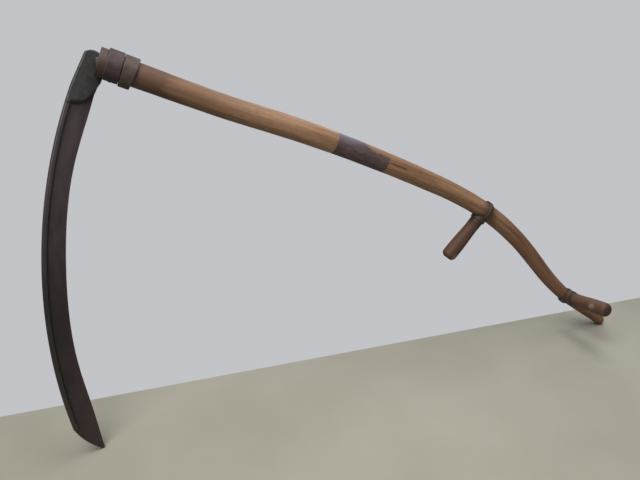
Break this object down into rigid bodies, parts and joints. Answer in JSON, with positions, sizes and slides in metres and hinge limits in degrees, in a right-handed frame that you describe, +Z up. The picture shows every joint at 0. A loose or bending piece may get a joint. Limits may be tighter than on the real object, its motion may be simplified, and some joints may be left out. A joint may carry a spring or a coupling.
{
  "type": "scythe",
  "caption": "Mowing scythe with a long ribbed steel blade on a bent wooden snath, turned screw-on nibs, iron ferrule and heel ring, leaning as against a wall.",
  "frame": {"origin": "on the floor, under the middle of the bounding box of the leaning tool", "axes": "+X from the blade to the snath's hand end, +Y towards the wall, +Z up"},
  "size_m": [1.4025, 0.2192, 0.7596],
  "materials": {
    "snath_wood": "old worn varnish, aged ash with a band of worn dark paint",
    "grip_wood": "reddish brown hardwood polished by hands",
    "blade_steel": "forged steel, dark brown patina, brighter ground edge",
    "ferrule_iron": "cast iron with brown rust",
    "ring_iron": "wrought iron, dull olive brown patina",
    "plate_iron": "flat iron, rusted",
    "nib_iron": "dark iron, worn at its edges",
    "small_steel": "rusty screw, nail and nut steel"
  },
  "bodies": {
    "snath_body": {"snath": "snath_wood", "end_ferrule": "ferrule_iron", "ferrule_nails": "small_steel", "heel_plate": "plate_iron", "heel_plate_screws": "small_steel", "blade": "blade_steel"},
    "heel_ring": {"heel_ring": "ring_iron"},
    "lower_loop": {"lower_nib_loop": "nib_iron"},
    "lower_saddle": {"lower_nib_saddle": "nib_iron"},
    "lower_grip": {"lower_nib_grip": "grip_wood", "lower_nib_grip_ferrule": "nib_iron", "lower_nib_grip_nut": "small_steel"},
    "upper_loop": {"upper_nib_loop": "nib_iron"},
    "upper_saddle": {"upper_nib_saddle": "nib_iron"},
    "upper_grip": {"upper_nib_grip": "grip_wood", "upper_nib_grip_ferrule": "nib_iron", "upper_nib_grip_nut": "small_steel"}
  },
  "joints": [
    {"name": "heel_ring_slide", "type": "slide", "parent": "snath_body", "child": "heel_ring", "axis": [0.9267, 0, -0.3759], "range_m": [0, 0.06]},
    {"name": "lower_nib_turn", "type": "hinge", "parent": "snath_body", "child": "lower_loop", "pos_m": [0.27303, 0.03397, 0.37686], "axis": [0.8269, 0.015, -0.5621], "range_deg": [-60, 60]},
    {"name": "lower_nib_release", "type": "slide", "parent": "lower_loop", "child": "lower_saddle", "axis": [-0.6322, 0.0335, -0.7741], "range_m": [0, 0.006]},
    {"name": "lower_grip_unscrew", "type": "hinge", "parent": "lower_saddle", "child": "lower_grip", "pos_m": [0.24775, 0.0353, 0.34589], "axis": [-0.6322, 0.0335, -0.7741], "range_deg": [-1081, 0]},
    {"name": "upper_nib_turn", "type": "hinge", "parent": "snath_body", "child": "upper_loop", "pos_m": [0.56118, 0.03038, 0.1058], "axis": [0.7868, -0.0308, -0.6165], "range_deg": [-14, 60]},
    {"name": "upper_nib_release", "type": "slide", "parent": "upper_loop", "child": "upper_saddle", "axis": [0.0481, -0.9891, 0.1391], "range_m": [0, 0.006]},
    {"name": "upper_grip_unscrew", "type": "hinge", "parent": "upper_saddle", "child": "upper_grip", "pos_m": [0.5631, -0.00919, 0.11137], "axis": [0.0481, -0.9891, 0.1391], "range_deg": [-1081, 0]}
  ],
  "couplings": [
    {"joint": "lower_grip_unscrew", "follows": "lower_nib_release", "rad_per_m": -3141.6},
    {"joint": "upper_grip_unscrew", "follows": "upper_nib_release", "rad_per_m": -3141.6}
  ]
}
